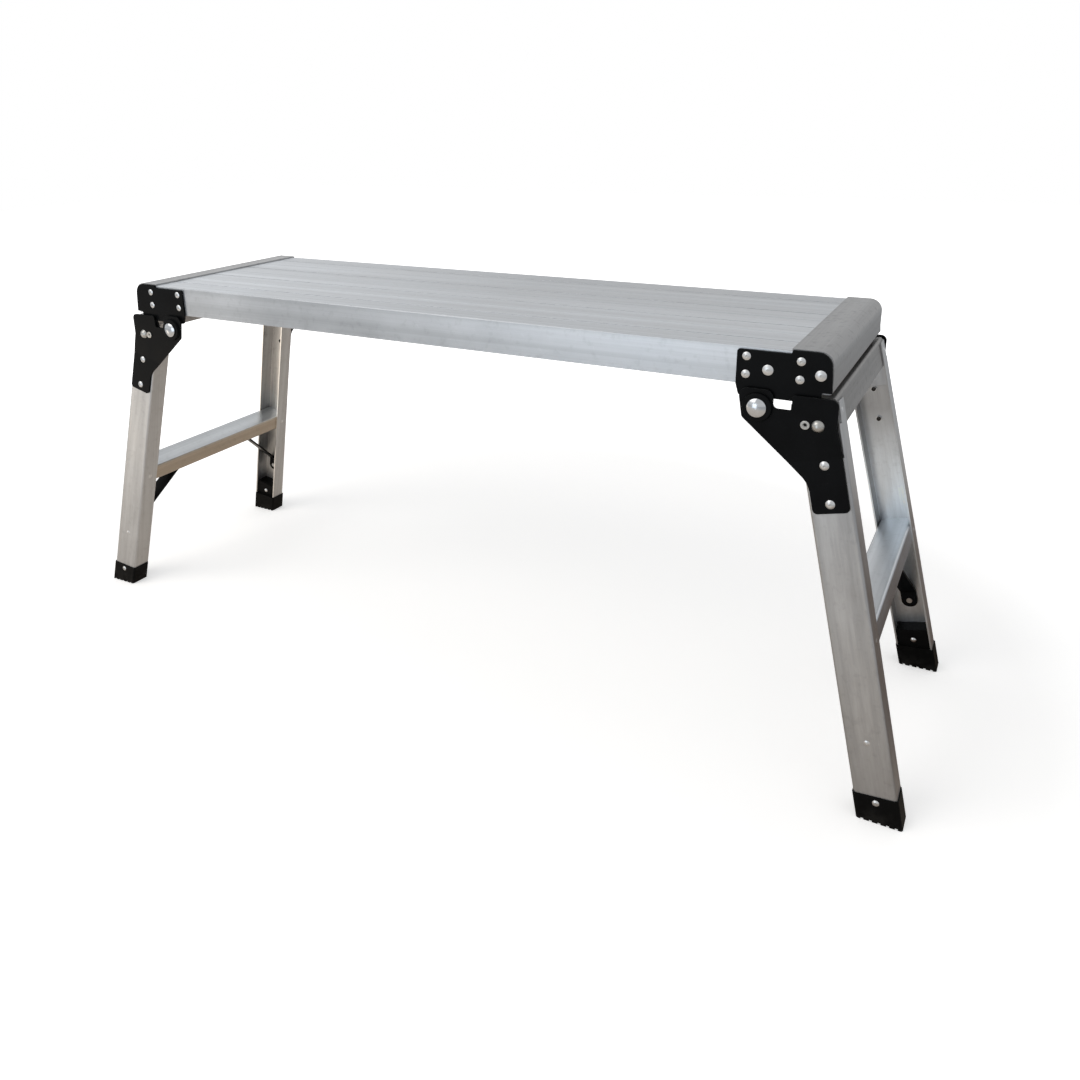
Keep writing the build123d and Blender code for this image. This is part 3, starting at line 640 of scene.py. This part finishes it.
class PLATFORM_OT_legs(bpy.types.Operator):
    """Finish the legs, whose die lines follow their splay, and the rungs between them"""

    bl_idname = "platform.legs"
    bl_label = "Leg frames"

    def execute(self, context):
        finish = finish_settings()
        splay = detail_settings().splay
        roughness = finish.leg_roughness
        ends = zip(
            ENDS,
            (-splay, splay),
            (finish.left_leg_painted_light, 1.0),
            (finish.left_hinge_sheen, finish.right_hinge_sheen),
            (finish.left_inside_sheen, finish.right_inside_sheen),
            (finish.left_rung, finish.right_rung),
        )
        for end, turn, tone, hinge_sheen, inside, rung_cast_colour in ends:
            # Painted light: the left legs are a lighter copy of the right ones.
            colour = Vector(finish.legs) * tone
            # Painted sheen inside the legs, standing in for light reflected into the channels.
            painted_sheen = (partial(painted_inside_sheen, by_hinge=hinge_sheen), inside)
            leg = extruded_aluminium(f"leg_aluminium_{end}", colour, roughness, "Z", turn, painted_sheen=painted_sheen)
            paint(at_end(named(*LEGS), end), leg)
            # Painted highlight on the rung tops.
            top_sheen = (facing_up, finish.rung_top_sheen)
            # Painted reflection: each end's rung colour carries a cast of reflected light.
            rung = extruded_aluminium(f"rung_aluminium_{end}", rung_cast_colour, roughness, "Y", painted_sheen=top_sheen)
            paint(at_end(named(*RUNGS), end), rung)
        return {"FINISHED"}


class PLATFORM_OT_hinges(bpy.types.Operator):
    """Finish the hinge plates, the braces, the pivots and the locks"""

    bl_idname = "platform.hinges"
    bl_label = "Hinges and locks"

    def execute(self, context):
        finish = finish_settings()
        coat = powder_coat("black_coat", finish.coat_roughness)
        chrome = plated("knob_chrome", finish.chrome, roughness=0.14, mottle=0.08)
        zinc = plated("pin_zinc", finish.steel, roughness=0.24, mottle=0.14)
        paint(named(*HINGE_PLATES, *BRACES, "lock_housing_"), coat)
        paint(named("lock_knob_"), chrome)
        paint(named("pivot_pins_", "spacer_studs_"), zinc)
        paint(named("pivot_spacers_"), powder_coat("spacer_black", finish.spacer_roughness))
        return {"FINISHED"}


class PLATFORM_OT_springs(bpy.types.Operator):
    """Model the lock springs at one length; in the platform they shorten as their knobs are pulled"""

    bl_idname = "platform.springs"
    bl_label = "Lock springs"

    def execute(self, context):
        detail = detail_settings()
        wire_steel = plated("spring_steel", finish_settings().steel, roughness=0.3, mottle=0.12)
        for node in named("lock_spring_"):
            corner = node.name.removeprefix("lock_spring_")
            low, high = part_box(node.name)
            out = 1 if low.y > 0 else -1
            length = high.y - low.y
            middle = (low + high) / 2
            inner = Vector((middle.x, low.y if out > 0 else high.y, middle.z))
            spring = model_spring((high.x - low.x) / 2, length, detail.spring_wire, detail.spring_turns)
            spring.name = spring.data.name = f"coil_{corner}"
            turn = Vector((0, out, 0)).to_track_quat("Z", "X").to_matrix().to_4x4()
            spring.data.transform(Matrix.Translation(inner) @ turn)
            spring.data.materials.append(wire_steel)
            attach(spring, "leg_frame_" + corner.split("_")[1])
            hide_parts(node.name)
            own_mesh(spring)
        return {"FINISHED"}


class PLATFORM_OT_rivets(bpy.types.Operator):
    """Finish the rivets, and add the pins in their heads and the crushed ends inside the legs"""

    bl_idname = "platform.rivets"
    bl_label = "Rivets"

    def execute(self, context):
        finish = finish_settings()
        detail = detail_settings()
        paint(named(*RIVETS), plated("rivet_aluminium", finish.rivets, roughness=0.26, mottle=0.10))
        mandrel_steel = plated("mandrel_steel", finish.steel, roughness=0.30, mottle=0.16)
        pattern = model_pin(detail.mandrel_radius, detail.mandrel_height)
        groups = {
            "deck": ("deck_plate_small_rivets", "deck_plate_plank_rivets", "deck_plate_cap_rivets"),
            "leg_frame_left": ("leg_rivets_left", "foot_rivets_left"),
            "leg_frame_right": ("leg_rivets_right", "foot_rivets_right"),
        }
        for body, nodes in groups.items():
            seats = [crown(places) for node in named(*nodes) for places in islands(node)]
            mandrels = joined_copies(pattern, seats, f"rivet_mandrels_{body}")
            mandrels.data.materials.append(mandrel_steel)
            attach(mandrels, body)
        bpy.data.objects.remove(pattern)
        # Near-black stubs, much darker than the steel of the pins.
        near_black_steel = plated("stub_steel", finish.stubs, roughness=0.45, mottle=0.16)
        pattern = model_pin(detail.stub_radius, detail.stub_height)
        for end in ENDS:
            seats = [tail(places) for places in islands(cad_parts[f"leg_rivets_{end}"])]
            stubs = joined_copies(pattern, seats, f"rivet_stubs_{end}")
            stubs.data.materials.append(near_black_steel)
            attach(stubs, f"leg_frame_{end}")
        bpy.data.objects.remove(pattern)
        return {"FINISHED"}


class PLATFORM_OT_feet(bpy.types.Operator):
    """Finish the feet"""

    bl_idname = "platform.feet"
    bl_label = "Feet"

    def execute(self, context):
        finish = finish_settings()
        black = moulded("foot_black", finish.feet, 0.5, finish.foot_dust, detail_settings().dust_height)
        paint(named(*FEET), black)
        return {"FINISHED"}


# Stage

def soft_lamp(name, place, target, size, power, colour):
    """A square area lamp aimed at a point."""
    deselect()
    bpy.ops.object.light_add(type="AREA", location=place)
    lamp = bpy.context.active_object
    lamp.name = name
    lamp.rotation_euler = (Vector(target) - Vector(place)).to_track_quat("-Z", "Y").to_euler()
    lamp.data.size = size
    lamp.data.energy = power
    lamp.data.color = colour
    lamp.visible_camera = False


def seen_directly(tree):
    """1 for rays that show a background: from the camera, off gloss or through glass."""
    path = tree.nodes.new("ShaderNodeLightPath")
    first = combined(tree, "MAXIMUM", path.outputs["Is Camera Ray"], path.outputs["Is Glossy Ray"])
    return combined(tree, "MAXIMUM", first, path.outputs["Is Transmission Ray"])


def white_world(level):
    """White where it is seen, and a plain grey light elsewhere."""
    world = bpy.data.worlds.new("studio")
    world.use_nodes = True
    tree = world.node_tree
    colour = between(tree, seen_directly(tree), (level, level, level), WHITE)
    tree.links.new(colour, tree.nodes["Background"].inputs["Color"])
    bpy.context.scene.world = world


def distance_from(tree, point):
    """Distance of the object coordinates from a point."""
    node = tree.nodes.new("ShaderNodeVectorMath")
    node.operation = "DISTANCE"
    node.inputs[1].default_value = point
    tree.links.new(object_vector(tree), node.inputs[0])
    return node.outputs["Value"]


def pale_floor(stage):
    """A pale floor that keeps the object's shadow and turns into the white world.

    In what the metal shows it glows, and it has a darker place, as a room has places in shade.
    """
    deselect()
    bpy.ops.mesh.primitive_plane_add(size=stage.floor_size, location=(0, 0, -0.0005))
    floor = bpy.context.active_object
    floor.name = "floor"
    material, tree, shader = new_finish("floor_pale", roughness=0.9, metallic=0.0)
    shader.inputs["Specular IOR Level"].default_value = 0.0
    path = tree.nodes.new("ShaderNodeLightPath")
    mirrored = combined(tree, "MAXIMUM", path.outputs["Is Glossy Ray"], path.outputs["Is Transmission Ray"])
    from_middle = distance_from(tree, (0, 0, 0))
    from_shade = distance_from(tree, stage.shade_place)
    in_shade = ranged(tree, from_shade, 1.0, 0.0, start=stage.shade_core, end=stage.shade_reach)
    dark = product(tree, mirrored, in_shade)
    tree.links.new(between(tree, dark, stage.floor_colour, stage.shade), shader.inputs["Base Color"])
    further = ranged(tree, from_middle, 0.0, 1.0, start=stage.glow_start, end=stage.glow_end)
    glow = between(tree, dark, between(tree, further, stage.near_glow, stage.far_glow), stage.shade)
    tree.links.new(between(tree, mirrored, WHITE, glow), shader.inputs["Emission Color"])
    white = ranged(tree, from_middle, stage.floor_lift, 1.0, start=stage.white_start, end=stage.white_full)
    shown = product(tree, path.outputs["Is Camera Ray"], white)
    tree.links.new(combined(tree, "ADD", shown, mirrored), shader.inputs["Emission Strength"])
    floor.data.materials.append(material)


def view_camera(stage):
    """The camera, placed and turned as in the picture that the part was made from."""
    azimuth, elevation = stage.camera_azimuth, stage.camera_elevation
    forward = Vector(
        (-sin(azimuth) * cos(elevation), cos(azimuth) * cos(elevation), -sin(elevation))
    )
    level = forward.cross(Vector((0, 0, 1))).normalized()
    right = Matrix.Rotation(stage.camera_roll, 3, -forward) @ level
    up = right.cross(forward)
    turn = Matrix((right, up, -forward)).transposed().to_4x4()
    deselect()
    bpy.ops.object.camera_add()
    camera = bpy.context.active_object
    camera.matrix_world = Matrix.Translation(stage.camera_place) @ turn
    camera.data.sensor_width = 36.0
    camera.data.lens = stage.lens
    camera.data.shift_x, camera.data.shift_y = stage.shift
    bpy.context.scene.camera = camera


class PLATFORM_OT_stage(bpy.types.Operator):
    """Set up the camera, the lamps and the floor"""

    bl_idname = "platform.stage"
    bl_label = "Stage"

    def execute(self, context):
        stage = context.scene.platform_stage
        context.scene.view_settings.view_transform = "Standard"
        white_world(stage.sky)
        pale_floor(stage)
        for lamp in ("key", "fill", "bounce"):
            kinds = ("place", "target", "size", "power", "colour")
            soft_lamp(lamp, *(getattr(stage, f"{lamp}_{kind}") for kind in kinds))
        view_camera(stage)
        return {"FINISHED"}


class PLATFORM_PT_panel(bpy.types.Panel):
    """Sizes, finishes and steps of the work platform"""

    bl_label = "Work platform"
    bl_idname = "PLATFORM_PT_panel"
    bl_space_type = "VIEW_3D"
    bl_region_type = "UI"
    bl_category = "Platform"

    def draw(self, context):
        scene = context.scene
        for settings in (scene.platform_finish, scene.platform_detail, scene.platform_stage):
            box = self.layout.box()
            for name in settings.__annotations__:
                box.prop(settings, name)
        for operator in OPERATORS:
            self.layout.operator(operator.bl_idname)


OPERATORS = (
    PLATFORM_OT_deck, PLATFORM_OT_legs, PLATFORM_OT_hinges, PLATFORM_OT_springs, PLATFORM_OT_rivets,
    PLATFORM_OT_feet, PLATFORM_OT_stage,
)
CLASSES = (PlatformFinish, PlatformDetail, PlatformStage, *OPERATORS, PLATFORM_PT_panel)


def register():
    for item in CLASSES:
        bpy.utils.register_class(item)
    bpy.types.Scene.platform_finish = PointerProperty(type=PlatformFinish)
    bpy.types.Scene.platform_detail = PointerProperty(type=PlatformDetail)
    bpy.types.Scene.platform_stage = PointerProperty(type=PlatformStage)


def unregister():
    del bpy.types.Scene.platform_stage
    del bpy.types.Scene.platform_detail
    del bpy.types.Scene.platform_finish
    for item in reversed(CLASSES):
        bpy.utils.unregister_class(item)


def main():
    register()
    bpy.ops.platform.deck()
    bpy.ops.platform.legs()
    bpy.ops.platform.hinges()
    bpy.ops.platform.springs()
    bpy.ops.platform.rivets()
    bpy.ops.platform.feet()
    bpy.ops.platform.stage()


if __name__ == "__main__":
    main()
